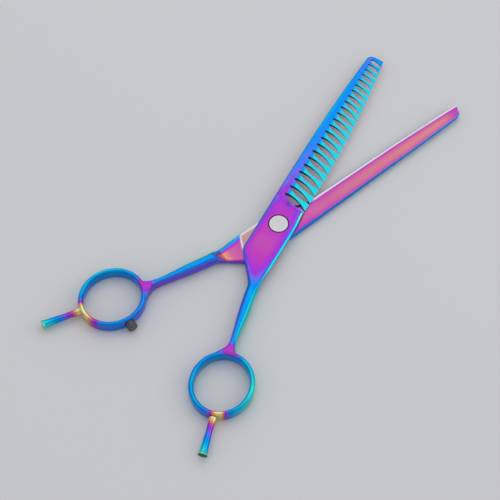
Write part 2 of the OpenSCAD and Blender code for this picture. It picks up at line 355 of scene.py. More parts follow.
def corner(v, w, side, face, a, b, k, back):
    """Points over a corner that is a bevel of a x b at k = 0 and an ellipse's arc at k = 1."""
    points = []
    for i in range(CORNER_STEPS + 1):
        s = i / CORNER_STEPS
        t = math.pi / 2 * s
        dv = k * (1 - math.cos(t)) + (1 - k) * s
        dw = k * (1 - math.sin(t)) + (1 - k) * (1 - s)
        points.append((v - side * a * dv, w - face * b * dw))
    return points[::-1] if back else points


def bridge(a, b, steps):
    """Points between a and b, without both."""
    return [(mix(a[0], b[0], k / steps), mix(a[1], b[1], k / steps)) for k in range(1, steps)]


def section(v0, v1, w0, w1, ao, bo, ai, bi, k, ease=1):
    """Outline across a half: outer corners ao x bo, inner ones ai x bi, roundness k. ease
    enlarges the inner corner at the spine."""
    corners = [corner(v1, w0, 1, -1, ai * ease, bi * ease, k, True),
               corner(v1, w1, 1, 1, ao, bo, k, False),
               corner(v0, w1, -1, 1, ao, bo, k, True), corner(v0, w0, -1, -1, ai, bi, k, False)]
    steps = [2, FLAT_STEPS, 2, FLAT_STEPS]
    out = []
    for i, points in enumerate(corners):
        out += points + bridge(points[-1], corners[(i + 1) % 4][0], steps[i])
    return out


# Shank rows: u, v0, v1, half the height, roundness
SHANK_ROWS = [
    (-62.5, -17.5, -4.6, 2.6, 0.18), (-60.2, -15.3, -6.0, 2.6, 0.22),
    (-58.2, -12.6, -7.1, 2.55, 0.34), (-56.0, -10.9, -7.7, 2.45, 0.55),
    (-53.0, -10.0, -7.3, 2.35, 0.72), (-48.5, -9.3, -6.1, 2.3, 0.8),
    (-43.5, -8.7, -4.8, 2.35, 0.8), (-38.5, -8.0, -3.6, 2.4, 0.8),
    (-34.0, -7.2, -2.7, 2.4, 0.8), (-30.0, -6.6, -2.0, 2.35, 0.8)]
# Shoulder rows: u, v0, v1, depth below the slide plane, roundness
SHOULDER_ROWS = [
    (-28.6, -6.45, -1.5, 1.75, 0.7), (-27.0, -6.3, -0.5, 0.8, 0.55),
    (-25.6, -6.3, 0.45, 0.1, 0.45), (-24.2, -6.3, 1.65, -RIDE_STEP, 0.38),
    (-21.5, -6.4, 3.7, -RIDE_STEP, 0.3), (-19.2, -6.5, 5.4, -RIDE_STEP, 0.22)]


# A section's row: u, v0, v1, w0, w1, outer corners' a and b, inner corners' a and b, roundness
def shank_row(u, v0, v1, h, roundness):
    a, b = roundness * (v1 - v0) / 2, roundness * h
    return (u, v0, v1, -h, h, a, b, a, b, 1)


def shoulder_row(u, v0, v1, inner, roundness):
    """Towards the heel the rounded outer corners turn into the ricasso's bevels."""
    flat = smooth(u, -29.5, -18.5)
    a, b = roundness * (v1 - v0) / 2, roundness * PIVOT_THICKNESS
    return (u, v0, v1, -inner, PIVOT_THICKNESS, mix(a, BEVEL_WIDTH + 0.15, flat),
            mix(b, BEVEL_DROP + 0.03, flat), a * 0.6, b * 0.6, mix(1, BEVEL_ROUND, flat))


def flat_row(u, v0, v1, w1):
    return (u, v0, v1, SLIDE_GAP, w1, BEVEL_WIDTH, BEVEL_DROP, INNER_BEVEL, INNER_BEVEL,
            BEVEL_ROUND)


def handle_rows():
    heel = flat_row(HEEL_U, HEEL_EDGE_V, HEEL_SPINE_V, PIVOT_THICKNESS)
    handle = [shank_row(*r) for r in SHANK_ROWS] + [shoulder_row(*r) for r in SHOULDER_ROWS]
    return spline_rows(handle + [heel], 10)


def ricasso_rows(end_u, end_v, extra):
    """Sections from the heel to a blade, with extra ones at the given places."""
    heel_end = HEEL_U + HEEL_LENGTH
    rows = [flat_row(mix(HEEL_U, heel_end, s / 10), HEEL_EDGE_V - 0.01 * s,
                     mix(HEEL_SPINE_V, SPINE_V, 1 - (1 - s / 10) ** 2), PIVOT_THICKNESS)
            for s in range(1, 10)]
    steps = 40
    for u in sorted([mix(heel_end, end_u, i / steps) for i in range(steps + 1)] + extra):
        v0 = EDGE_V + 0.1 * clamp(share(u, 0, heel_end))
        rows.append(flat_row(u, mix(v0, end_v, smooth(u, end_u - 10, end_u)), SPINE_V,
                             PIVOT_THICKNESS))
    return rows


def blade_w(u, reach):
    return mix(PIVOT_THICKNESS, TIP_THICKNESS, max(0, share(u, TOOTH_START, reach)))


# Toothed blade
def toothed_spine(u):
    past_bend = max(0, share(u, TOOTHED_SPINE_BEND_U, TOOTHED_REACH))
    return SPINE_V - TOOTHED_SPINE_DROP * past_bend ** 2


def tooth_line(u):
    s = share(u, TOOTH_START, TOOTHED_REACH)
    return mix(TOOTH_LINE_V, TOOTH_LINE_END, s) - 4 * TOOTH_LINE_BULGE * s * (1 - s)


def end_row(row):
    """A last section, a little smaller, that bevels the blade's end."""
    return flat_row(row[0] + END_BEVEL, row[1] + 0.1, row[2] - 0.25, row[4] - END_BEVEL)


def toothed_rows():
    run_out = [0.0, 0.12, 0.3, 0.6, 1.0, 1.5, 2.1]
    end = TOOTHED_REACH - TIP_ROUND
    us = [TOOTH_START + d for d in run_out]
    us += [mix(us[-1], end, (i + 1) / BLADE_STEPS) for i in range(BLADE_STEPS)]
    rows = [flat_row(u, tooth_line(u), toothed_spine(u), blade_w(u, TOOTHED_REACH)) for u in us]
    for a in (18, 36, 54, 72, 90):
        t = math.radians(a)
        u = end + TIP_ROUND * math.sin(t)
        rows.append(flat_row(u - END_BEVEL, tooth_line(u),
                             toothed_spine(u) - TIP_ROUND * (1 - math.cos(t)), TIP_THICKNESS))
    rows.append(end_row(rows[-1]))
    extra = [GRIND_START + d for d in (-0.3, -0.04, 0, 0.08, 0.2, 0.4, 0.7, 1.1)]
    return ricasso_rows(TOOTH_START - 0.05, tooth_line(TOOTH_START), extra) + rows


GRIND_FALL = (PIVOT_THICKNESS - GRIND_DROP - TOOTH_TIP_THICKNESS) / (GRIND_V - TOOTH_LINE_V)
GRIND_TAPER = (PIVOT_THICKNESS - TIP_THICKNESS) / (TOOTHED_REACH - TOOTH_START)


def grind_share(u, v):
    """0 on the ricasso, 1 where the teeth are ground to their full depth. The grinding wheel
    ran out in a curve: a sharp step at the edge that fades towards the spine."""
    if u < GRIND_START - 0.001:
        return 0.0
    length = 0.2 + 5.5 * smooth(v, -1.0, GRIND_V)
    return smooth(u - GRIND_START, -0.5 * length, length)


def tooth_cap(u, v):
    """Height that the teeth are ground down to."""
    full = (PIVOT_THICKNESS - GRIND_DROP - GRIND_FALL * max(0, GRIND_V - v)
            - GRIND_TAPER * max(0, u - TOOTH_START))
    return mix(PIVOT_THICKNESS, full, grind_share(u, v)) if u >= GRIND_START else NO_CAP


# Plain blade
def plain_edge(u):
    past_bend = max(0, share(u, PLAIN_EDGE_BEND_U, PLAIN_REACH))
    return (mix(EDGE_V, PLAIN_EDGE_V, smooth(u, *PLAIN_NECK))
            + (PLAIN_EDGE_END - PLAIN_EDGE_V) * past_bend ** 2)


def plain_spine(u):
    s = share(u, 0, PLAIN_REACH)
    return mix(PLAIN_SPINE_V, PLAIN_SPINE_END, s) + 4 * PLAIN_SPINE_BULGE * s * s * (1 - s)


def plain_rows():
    end = PLAIN_REACH - PLAIN_TIP_LENGTH
    us = [mix(PLAIN_NECK[0], end, i / BLADE_STEPS) for i in range(BLADE_STEPS + 1)]
    rows = [flat_row(u, plain_edge(u), plain_spine(u), blade_w(u, PLAIN_REACH)) for u in us]
    tip = [(end, plain_spine(end)), (PLAIN_REACH - 1.6, 3.4), (PLAIN_REACH - 0.5, 2.6),
           (PLAIN_REACH, PLAIN_EDGE_END + 2.2)]
    edge = plain_edge(PLAIN_REACH)
    for u, v1 in spline_rows(tip, 5)[1:]:
        rows.append(flat_row(u - END_BEVEL * smooth(u, end, PLAIN_REACH), edge, v1,
                             TIP_THICKNESS))
    rows.append(end_row(rows[-1]))
    ricasso = ricasso_rows(rows[0][0] - 0.2, EDGE_V, [])
    for i, row in enumerate(ricasso):
        v1 = mix(row[2], plain_spine(max(row[0], 0)), smooth(row[0], -8, PLAIN_NECK[0]))
        ricasso[i] = row[:2] + (v1,) + row[3:]
    return ricasso + rows


def edge_cap(u, v):
    """Outer side of the plain blade, ground down to a keen edge."""
    if u < PLAIN_NECK[1] - 4:
        return NO_CAP
    return EDGE_LAND + PLAIN_BEVEL_SLOPE * max(0, v - plain_edge(u))


def hollow(u, v, v0, v1, reach):
    """Depth of the hollow ground into a blade's inner face."""
    if u < HOLLOW_START:
        return 0
    s = share(v, v0 + 1.0, v1 - 0.5)
    if s <= 0 or s >= 1:
        return 0
    depth = HOLLOW_DEPTH * 4 * s * (1 - s)
    return depth * smooth(u, HOLLOW_START, 20) * smooth(reach - u, 1, 5)


def moon_u(v):
    """Line across the heel where the ride surface ends."""
    return MOON_U - MOON_SLANT * (v + 0.1) + MOON_CURVE * (v + 0.1) ** 2


def ride(u, v, w, w0, w1):
    """Puts a step along the line where the ride surface ends."""
    if not -19.2 < u < -13:
        return w
    target = SLIDE_GAP + (RIDE_STEP - SLIDE_GAP) * smooth(moon_u(v) - u, -0.12, 0.12)
    return w + (target - w0) * max(0, 1 - 2 * (w - w0) / (w1 - w0))


def forging_mesh(rows, cap, reach, spine_ease):
    """A half without its ring and holes. cap limits the height, spine_ease enlarges the spine's
    inner bevel."""
    rings = []
    for row in rows:
        u, v0, v1 = row[:3]
        ring = []
        for v, w in section(*row[1:], ease=spine_ease * smooth(u, -16, -13) + 1):
            if abs(w - SLIDE_GAP) < 1e-6:
                w += hollow(u, v, v0, v1, reach)
            w = ride(u, v, w, row[3], row[4])
            ring.append((u, v, min(w, max(cap(u, v), SLIDE_GAP + 0.02))))
        rings.append(ring)
    return skin_mesh(rings)


# ---- Ring and cutters ------------------------------------------------------------------------

RING_STEPS = 160


def ring_point(t, offset=0.0):
    a, b = RING_LONG + BAR_WIDTH / 2, RING_SHORT + BAR_WIDTH / 2
    normal = Vector((b * math.cos(t), a * math.sin(t))).normalized()
    return a * math.cos(t) + normal.x * offset, b * math.sin(t) + normal.y * offset


PLACE_RING = (Matrix.Translation((RING_U, RING_V, 0))
              @ Matrix.Rotation(math.radians(RING_TURN), 4, "Z"))


def ring_section():
    half = BAR_WIDTH / 2
    steps = 8
    points = []
    for side, face, back in ((1, -1, True), (1, 1, False), (-1, 1, True), (-1, -1, False)):
        arc = []
        for i in range(steps + 1):
            t = math.pi / 2 * i / steps
            arc.append((side * (half - BAR_ROUND_V * (1 - math.cos(t))),
                        face * (HALF_HEIGHT - BAR_ROUND_W * (1 - math.sin(t)))))
        points += arc[::-1] if back else arc
    return points


def ring_mesh():
    rows = []
    for j in range(RING_STEPS):
        t = 2 * math.pi * j / RING_STEPS
        rows.append([(*ring_point(t, offset), w) for offset, w in ring_section()])
    return moved(skin_mesh(rows, closed=True), PLACE_RING)


def prism_mesh(outline, low, high):
    n = len(outline)
    verts = [(x, y, low) for x, y in outline] + [(x, y, high) for x, y in outline]
    faces = [(i, (i + 1) % n, n + (i + 1) % n, n + i) for i in range(n)]
    faces += [tuple(range(n - 1, -1, -1)), tuple(range(n, 2 * n))]
    return verts, faces


def ring_core_mesh():
    outline = [ring_point(2 * math.pi * j / RING_STEPS) for j in range(RING_STEPS)]
    high = HALF_HEIGHT + CUT_PAST
    return moved(prism_mesh(outline, -high, high), PLACE_RING)


def slot_pitch(i):
    return TIP_PITCH + (HEEL_PITCH - TIP_PITCH) * i / (SLOT_COUNT - 2)


def slot_places():
    """The root of each slot along u, and its pitch."""
    u = FIRST_SLOT_U
    places = []
    for i in range(SLOT_COUNT):
        places.append((u, slot_pitch(min(i, SLOT_COUNT - 2))))
        u -= slot_pitch(i)
    return places


SLOT_SIDES = 22


def slot_mesh(u, pitch):
    """Cutter for a slot: a slim drop from its pointed root, open at the edge."""
    root = SLOT_ROOT_V - SLOT_ROOT_FALL * u
    lean = math.radians(SLOT_LEAN)
    length = (root - tooth_line(u - 2)) / math.cos(lean)
    wide = pitch * math.cos(lean) * SLOT_SHARE / 2
    side = [(0.0, 0.0)]
    for k in range(1, SLOT_SIDES + 1):
        s = (k / SLOT_SIDES) ** 1.4
        half = wide * max(0, math.sin(math.pi * s ** 0.85)) ** 0.65
        side.append((s * length, max(half, SLOT_MOUTH / 2 if s > 0.5 else 0)))
    side.append((length + 2, SLOT_MOUTH / 2))
    outline = side + [(x, -y) for x, y in side[:0:-1]]
    place = Matrix.Translation((u, root, 0)) @ Matrix.Rotation(-math.pi / 2 - lean, 4, "Z")
    return moved(prism_mesh(outline, -CUT_PAST, PIVOT_THICKNESS + CUT_PAST), place)


# ---- Coating, painted highlight and painted shade: which colour of the rainbow shows where ---

# Film positions on RAINBOW: round the ring by degrees, along a blade by u, along a rest by z
RING_FILM = {
    "plain": [
        (0, 0.72), (40, 0.7), (80, 0.7), (120, 0.74), (142, 0.72), (149, 0.62), (155, 0.5),
        (161, 0.38), (166, 0.24), (171, 0.13), (177, 0.07), (185, 0.02), (193, 0.02),
        (199, 0.1), (203, 0.22), (206, 0.42), (210, 0.6), (216, 0.74), (230, 0.78),
        (260, 0.8), (300, 0.84), (340, 0.77), (360, 0.72)],
    "toothed": [
        (0, 0.76), (40, 0.74), (80, 0.74), (118, 0.79), (150, 0.8), (166, 0.77), (178, 0.72),
        (184, 0.61), (188, 0.5), (191, 0.34), (194.5, 0.17), (199, 0.06), (206, 0.03),
        (210, 0.1), (213, 0.28), (216, 0.48), (219, 0.62), (224, 0.73), (234, 0.8),
        (290, 0.91), (340, 0.83), (360, 0.76)]}
OUTER_FILM = [
    (-33, 0.72), (-30, 0.66), (-27.5, 0.56), (-24, 0.46), (-18, 0.4), (-11, 0.37), (-3, 0.4),
    (6, 0.42), (12, 0.47), (20, 0.58), (30, 0.67), (45, 0.75), (60, 0.78), (74, 0.75),
    (84, 0.7), (92, 0.6)]
TEETH_FILM = [(60, 0.89), (84, 0.86), (91, 0.74)]
INNER_FILM = [(-8, 0.2), (2, 0.32), (20, 0.3), (45, 0.26), (70, 0.24), (86, 0.24), (93, 0.37)]
# Along the shoulder's inner face; the dip to gold near u = -25.7 is a painted highlight where the
# ramp rises to the shank.
SHOULDER_FILM_AND_HIGHLIGHT = [
    (-30, 0.5), (-28.2, 0.36), (-26.8, 0.25), (-25.7, 0.16), (-24.4, 0.22), (-22, 0.31),
    (-17, 0.34)]
REST_FILM = [
    (-1, 0.03), (1.2, 0.06), (2.2, 0.18), (3.4, 0.36), (5, 0.48), (6.8, 0.6), (9, 0.7),
    (12, 0.82), (14.6, 0.9), (15.1, 0.99)]
MAGENTA = 0.42

# Along u: where the plain blade's bare edge begins, and where the painted shade on the slots'
# walls does
EDGE_GRIND = (16.4, 17.6)
SLOTS_FROM = 8.6


def ring_film(u, v, n, half):
    angle = math.degrees(math.atan2(v - RING_V, u - RING_U)) % 360
    return along(RING_FILM[half], angle) - 0.06 * n.y


def web_share(u, v, n):
    """1 on the flat web between a shank and its ring."""
    return smooth(math.hypot(u + 58.2, (v + 10.2) * 0.85), 5.2, 1.4) * smooth(abs(n.z), 0.3, 0.9)


def outer_face_film(u, v, v0, v1, half):
    """The side of a half that shows when it lies on top."""
    face = along(OUTER_FILM, u)
    if u < 12:
        face += 0.1 * smooth(v - v0, 4.6, 1.0) + 0.07 * smooth(v1 - v, 3.4, 1.0)
    if half == "toothed":
        face -= 0.07 * smooth(u, 10, 16) * smooth(v1 - v, 0.9, 2.4)
        on_teeth = smooth(v, GRIND_V + 0.3, GRIND_V - 2.2) * smooth(u - 0.3 * v, 10.8, 12.3)
        face = mix(face, along(TEETH_FILM, u), on_teeth)
    return face


def inner_face_film_and_highlight(u, v, v0, v1):
    """The ground side of a half, which slides on the other half, with a painted highlight on its
    shoulder.
    """
    s = clamp(share(v, v0 + 1.0, v1 - 0.2))
    if u > moon_u(v):
        middle = along(INNER_FILM, u)
        return middle + (MAGENTA - middle) * abs(2 * s - 1) ** 2.4 * smooth(u, -8, 4)
    border = mix(along(SHOULDER_FILM_AND_HIGHLIGHT, u), 0.52, smooth(v - v0, 3.0, 1.6))
    return mix(border, 0.82, smooth(v - v0, 1.5, 1.0)) + 0.16 * smooth(v1 - v, 1.8, 0.4)


def bare_share(u, v, n, v0, half):
    """1 where the coating was ground off again."""
    if n.z > -0.9:
        if half == "plain" and n.z > 0.5:
            return smooth(v - v0, 0.9, 0.5) * smooth(u, *EDGE_GRIND)
        tip_end = half == "toothed" and u > TOOTH_START + 0.6 and abs(n.z) < 0.35 and n.y < -0.8
        return 0.8 if tip_end and v < v0 + 0.2 else 0.0
    if u > 3:
        return smooth(v - v0, 1.0, 0.8) * (1 if half == "toothed" else smooth(u, *EDGE_GRIND))
    beyond = u - moon_u(v)
    line = smooth(abs(beyond - 0.35), 0.5, 0.3)
    band = smooth(v - EDGE_V, 1.35, 1.1) * smooth(beyond, 0.0, 0.3)
    worn = 0.3 * smooth(beyond, 0.0, 0.5) * smooth(u, -4, -9)
    return max(line, band, worn)


def shade_share(u, v, w, n, v0, half):
    """Painted shade that darkens the colour in the slot walls, along the grind's step, in the
    pivot recess and bores, and a painted shadow on the plain blade under the first slots; darker
    on the heel's inner face too.
    """
    # Painted shade in the slot walls.
    if half == "toothed" and u - 0.35 * v > SLOTS_FROM and v0 + 0.1 < v < 5 and abs(n.z) < 0.4:
        return 0.62
    # Painted shade: a thin dark line on the ground face at the grind's step, fading towards the
    # spine.
    if half == "toothed" and -0.06 < u - GRIND_START < 0.1 and n.z > 0:
        return 0.7 * smooth(v, 4.0, 0.0)
    # Painted shade in the pivot recess round the head and in the bores.
    if math.hypot(u, v) < RECESS_R + 0.01 and n.z > -0.5:
        return 0.93 if abs(n.z) < 0.5 or w < PIVOT_THICKNESS - 0.05 else 0.0
    # Darker on the heel's inner face inside the moon line.
    if n.z < -0.9 and moon_u(v) + 0.7 < u < -4 and v > v0 + 1.4:
        return 0.3
    # Painted shadow on the plain blade's face near its edge, under the toothed blade's first
    # slots.
    if half == "plain" and n.z < -0.9 and 3 < u < EDGE_GRIND[1]:
        return 0.9 * smooth(v - v0, 1.6, 0.9) * smooth(u, 17.0, 16.0)
    return 0.0


def coat_and_shade_values(p, n, half, outline):
    """(film, bare, painted shade) for a point of a half. film runs from cream and gold (0) over
    salmon (0.25), magenta (0.4), violet and blue (0.64) to cyan (0.88) and pale green (1)."""
    u, v, w = p
    v0, v1 = outline(u)
    round_film = 0.74 - 0.2 * n.y
    if u < -57 and math.hypot(u - RING_U, v - RING_V) < RING_LONG + BAR_WIDTH + 0.1:
        film = mix(ring_film(u, v, n, half), MAGENTA, web_share(u, v, n))
        return clamp(film), 0.0, 0.0
    if u < -37:
        return clamp(mix(round_film, MAGENTA, web_share(u, v, n))), 0.0, 0.0
    if n.z > 0:
        face = outer_face_film(u, v, v0, v1, half)
        side = round_film if u < HEEL_U else 0.78 - 0.14 * n.y
        side += 0.18 * smooth(u, 8, 50) * smooth(n.y, 0.2, 0.5)
        if v < 0 and HEEL_U < u:
            side += 0.12 * smooth(u, 0, 8)
        if half == "toothed" and u > TOOTH_START and v < 5:
            side = 0.66
        flat = smooth(n.z, mix(0.3, 0.86, smooth(u, -34, -20)), 0.97)
        film = mix(side, face, flat * smooth(u, -37, -29))
    elif u < -29:
        film = round_film
    else:
        film = mix(round_film, inner_face_film_and_highlight(u, v, v0, v1), smooth(-n.z, 0.35, 0.6))
        film = mix(film, round_film, smooth(u, -27.5, -29))
        if half == "plain" and u > -13:
            film = mix(film, 0.73, smooth(n.y, 0.2, 0.4))
    return clamp(film), clamp(bare_share(u, v, n, v0, half)), shade_share(u, v, w, n, v0, half)


def plain_outline(u):
    if u < PLAIN_NECK[0]:
        return EDGE_V, SPINE_V
    return plain_edge(min(u, PLAIN_REACH)), plain_spine(u)


def toothed_outline(u):
    if u < TOOTH_START:
        return EDGE_V, SPINE_V
    return tooth_line(u), toothed_spine(u)


SHOULDER_EDGE = [row[:2] for row in SHOULDER_ROWS] + [(HEEL_U, HEEL_EDGE_V)]
SHOULDER_SPINE = [(row[0], row[2]) for row in SHOULDER_ROWS] + [(HEEL_U, HEEL_SPINE_V)]


def handle_outline(u):
    return along(SHOULDER_EDGE, u), along(SHOULDER_SPINE, u)


def paint(obj, value_at):
    """Stores the film, bare and painted shade values on every face corner."""
    mesh = obj.data
    layer = mesh.color_attributes.new("coat_and_shade", "FLOAT_COLOR", "CORNER")
    normals = mesh.corner_normals
    colors = []
    for i, loop in enumerate(mesh.loops):
        p = mesh.vertices[loop.vertex_index].co
        colors += [*value_at(p, Vector(normals[i].vector)), 1.0]
    layer.data.foreach_set("color", colors)


# ---- Materials -------------------------------------------------------------------------------

def node_material(name):
    material = bpy.data.materials.new(name)
    material.use_nodes = True
    tree = material.node_tree
    return material, tree, tree.nodes["Principled BSDF"]


def add(tree, kind, **values):
    node = tree.nodes.new(kind)
    for key, value in values.items():
        setattr(node, key, value)
    return node


def noise(tree, scale, detail=3, stretch=(1, 1, 1), rotate=0.0):
    where = add(tree, "ShaderNodeTexCoord")
    mapping = add(tree, "ShaderNodeMapping")
    mapping.inputs["Rotation"].default_value = (0, 0, rotate)
    mapping.inputs["Scale"].default_value = stretch
    tree.links.new(where.outputs["Object"], mapping.inputs["Vector"])
    texture = add(tree, "ShaderNodeTexNoise")
    texture.inputs["Scale"].default_value = scale
    texture.inputs["Detail"].default_value = detail
    tree.links.new(mapping.outputs["Vector"], texture.inputs["Vector"])
    return texture.outputs["Fac"]


def ranged(tree, value, low, high):
    node = add(tree, "ShaderNodeMapRange")
    node.inputs["To Min"].default_value = low
    node.inputs["To Max"].default_value = high
    tree.links.new(value, node.inputs["Value"])
    return node.outputs["Result"]


def math_node(tree, operation, a, b):
    node = add(tree, "ShaderNodeMath", operation=operation)
    for socket, value in zip(node.inputs, (a, b)):
        if isinstance(value, (int, float)):
            socket.default_value = value
        else:
            tree.links.new(value, socket)
    return node.outputs["Value"]


def mix_color(tree, factor, a, b):
    """Colour from a to b by factor. a is a socket or a colour, b is a colour."""
    node = add(tree, "ShaderNodeMix", data_type="RGBA")
    tree.links.new(factor, node.inputs["Factor"])
    if isinstance(a, tuple):
        node.inputs["A"].default_value = a
    else:
        tree.links.new(a, node.inputs["A"])
    node.inputs["B"].default_value = b
    return node.outputs["Result"]


def linear(r, g, b):
    """8-bit screen colour to scene-linear."""
    def one(c):
        c /= 255
        return c / 12.92 if c <= 0.04045 else ((c + 0.055) / 1.055) ** 2.4
    return (one(r), one(g), one(b), 1)


RAINBOW = [
    (0.0, (232, 228, 176)), (0.08, (236, 202, 126)), (0.17, (230, 152, 120)),
    (0.26, (200, 114, 136)), (0.33, (188, 88, 158)), (0.4, (178, 58, 178)),
    (0.48, (146, 54, 208)), (0.56, (112, 98, 224)), (0.64, (60, 120, 230)),
    (0.72, (14, 134, 234)), (0.8, (10, 164, 226)), (0.88, (28, 202, 222)),
    (0.95, (50, 220, 208)), (1.0, (140, 215, 165))]


BARE_STEEL = linear(214, 214, 220)
DEEP_SHADE = linear(8, 8, 14)


def bump(tree, shader, height, strength, distance):
    node = add(tree, "ShaderNodeBump")
    node.inputs["Strength"].default_value = strength
    node.inputs["Distance"].default_value = distance
    tree.links.new(height, node.inputs["Height"])
    tree.links.new(node.outputs["Normal"], shader.inputs["Normal"])


def rainbow_material(name, grain_turn=0.0):
    """Polished steel under a rainbow film, bare where it was ground after coating, and darkened
    towards near black where shade is painted.
    """
    material, tree, shader = node_material(name)
    coat_and_shade = add(tree, "ShaderNodeVertexColor", layer_name="coat_and_shade")
    parts = add(tree, "ShaderNodeSeparateColor")
    tree.links.new(coat_and_shade.outputs["Color"], parts.inputs["Color"])
    cloud = ranged(tree, noise(tree, 120, 4), -0.025, 0.025)
    film = math_node(tree, "ADD", parts.outputs["Red"], cloud)
    ramp = add(tree, "ShaderNodeValToRGB")
    elements = ramp.color_ramp.elements
    while len(elements) < len(RAINBOW):
        elements.new(0.5)
    for element, (place, color) in zip(elements, RAINBOW):
        element.position = place
        element.color = linear(*color)
    tree.links.new(film, ramp.inputs["Fac"])
    ground = mix_color(tree, parts.outputs["Green"], ramp.outputs["Color"], BARE_STEEL)
    # Painted shade: the blue channel darkens the colour towards near black.
    deep = mix_color(tree, parts.outputs["Blue"], ground, DEEP_SHADE)
    tree.links.new(deep, shader.inputs["Base Color"])
    shader.inputs["Metallic"].default_value = 1.0
    grain = noise(tree, 1800, 3, (0.04, 1, 1), rotate=grain_turn)
    smudge = noise(tree, 60, 3)
    rough = math_node(tree, "ADD", ranged(tree, smudge, 0.14, 0.22), ranged(tree, grain, 0, 0.08))
    rough = math_node(tree, "ADD", rough,
                      math_node(tree, "MULTIPLY", parts.outputs["Green"], 0.12))
    tree.links.new(rough, shader.inputs["Roughness"])
    bump(tree, shader, grain, 0.1, 0.00001)
    return material


def metal_material(name, color, rough, ring_scale=0.0):
    """Bare metal with fine grain, and turning marks where ring_scale is given."""
    material, tree, shader = node_material(name)
    patches = ranged(tree, noise(tree, 300, 4), 0, 1)
    blend = mix_color(tree, patches, linear(*[c * 0.93 for c in color]), linear(*color))
    tree.links.new(blend, shader.inputs["Base Color"])
    shader.inputs["Metallic"].default_value = 1.0
    fine = noise(tree, 2500, 2)
    tree.links.new(ranged(tree, fine, rough - 0.05, rough + 0.08), shader.inputs["Roughness"])
    height = fine
    if ring_scale:
        where = add(tree, "ShaderNodeTexCoord")
        wave = add(tree, "ShaderNodeTexWave", wave_type="RINGS", rings_direction="Z")
        wave.inputs["Scale"].default_value = ring_scale
        wave.inputs["Distortion"].default_value = 0.4
        tree.links.new(where.outputs["Object"], wave.inputs["Vector"])
        height = math_node(tree, "ADD", fine, wave.outputs["Fac"])
    bump(tree, shader, height, 0.15, 0.00002)
    return material


def plastic_material(name, color, rough, grain_scale, see_through=0.0):
    """Polymer or rubber with a fine grain."""
    material, tree, shader = node_material(name)
    patches = noise(tree, grain_scale * 0.1, 3)
    blend = mix_color(tree, patches, linear(*[c * 0.85 for c in color]),
                      linear(*[min(255, c * 1.1) for c in color]))
    tree.links.new(blend, shader.inputs["Base Color"])
    grain = noise(tree, grain_scale, 3)
    tree.links.new(ranged(tree, grain, rough - 0.06, rough + 0.1), shader.inputs["Roughness"])
    shader.inputs["Transmission Weight"].default_value = see_through
    bump(tree, shader, grain, 0.2, 0.00003)
    return material


GRAIN_TURN = math.radians(OPEN_ANGLE / 2)
coat_toothed = rainbow_material("rainbow_toothed", -GRAIN_TURN)
coat_plain = rainbow_material("rainbow_plain", GRAIN_TURN)
satin = metal_material("satin_steel", (205, 205, 208), 0.3, 900)
dark_steel = metal_material("nut_steel", (170, 170, 174), 0.3, 700)
bronze = metal_material("bronze", (190, 150, 95), 0.32)
polymer = plastic_material("white_polymer", (228, 228, 222), 0.45, 2500)
rubber = plastic_material("grey_rubber", (88, 88, 94), 0.35, 3500, 0.25)


# ---- Pieces ----------------------------------------------------------------------------------

def finish_piece(obj, place, material, body, node):
    obj.data.transform(place)
    if place.to_3x3().determinant() < 0:
        obj.data.flip_normals()
    obj.data.materials.clear()
    obj.data.materials.append(material)
    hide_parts(node)
    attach(obj, body)


def build_half(name, half, rows, cap, reach, outline, cutters, material, place, body, node):
    spine_ease = PLAIN_SPINE_EASE if half == "plain" else 0
    obj = new_object(name, *forging_mesh(rows, cap, reach, spine_ease))
    boolean(obj, ring_core_mesh(), "DIFFERENCE")
    boolean(obj, ring_mesh(), "UNION")
    for cutter in cutters:
        boolean(obj, cutter, "DIFFERENCE")
    shade(obj)

    def value_at(p, n):
        limits = handle_outline if p.x < HEEL_U else outline
        return coat_and_shade_values(p, n, half, limits)

    paint(obj, value_at)
    finish_piece(obj, place, material, body, node)


def socket_cutter(turn, seat, radius, seat_radius, depth):
    """Cutter for a hole in the ring's bar with a flat seat around it."""
    profile = [(0, -depth), (radius, -depth), (radius, 0), (seat_radius, 0), (seat_radius, 3),
               (0, 3)]
    return moved(lathe_mesh(profile, 48), on_ring(turn, seat))


def rest_socket():
    return socket_cutter(REST_TURN, REST_SEAT, REST_THREAD_R + RUNNING_CLEARANCE, REST_FLANGE_R,
                         REST_SOCKET_DEPTH)


def toothed_half():
    slots = join_meshes([slot_mesh(u, pitch) for u, pitch in slot_places()])
    bore = lathe_mesh([(0, -CUT_PAST), (BARREL_R, -CUT_PAST), (BARREL_R, HEAD_SEAT_W),
                       (RECESS_R, HEAD_SEAT_W), (RECESS_R, 4), (0, 4)], 128)
    build_half("toothed_half_visual", "toothed", handle_rows() + toothed_rows(), tooth_cap,
               TOOTHED_REACH, toothed_outline, [slots, bore, rest_socket()], coat_toothed,
               PLACE_TOOTHED, "toothed_side", "toothed_half")


def plain_half():
    bore = lathe_mesh([(0, -CUT_PAST), (WASHER_R + 0.1, -CUT_PAST), (WASHER_R + 0.1, WASHER_SINK),
                       (BUSHING_R, WASHER_SINK), (BUSHING_R, NUT_FLOOR_W),
                       (NUT_POCKET_R, NUT_FLOOR_W), (NUT_POCKET_R, 4), (0, 4)], 128)
    stem = socket_cutter(BUMPER_TURN, BUMPER_SEAT, BUMPER_STEM_R, BUMPER_R + 0.1,
                         BUMPER_STEM_LENGTH)
    build_half("plain_half_visual", "plain", handle_rows() + plain_rows(), edge_cap,
               PLAIN_REACH, plain_outline, [bore, rest_socket(), stem], coat_plain, PLACE_PLAIN,
               "plain_side", "plain_half")


def turned_piece(name, profile, place, material, body, node, round_by=0.08, paint_by=None):
    if off_axis(profile):
        outline = rounded(profile + profile[:2], round_by)[1:-1]
    else:
        outline = rounded(profile, round_by)
    obj = new_object(name, *lathe_mesh(outline))
    shade(obj, 50)
    if paint_by:
        paint(obj, paint_by)
    finish_piece(obj, place, material, body, node)


def rest_film_and_shade(p, n):
    """The film's colour changes along a finger rest; its far end face is painted near black as
    shade.
    """
    return clamp(along(REST_FILM, p.z) - 0.05 * n.y), 0.0, 0.9 if n.z > 0.9 else 0.0


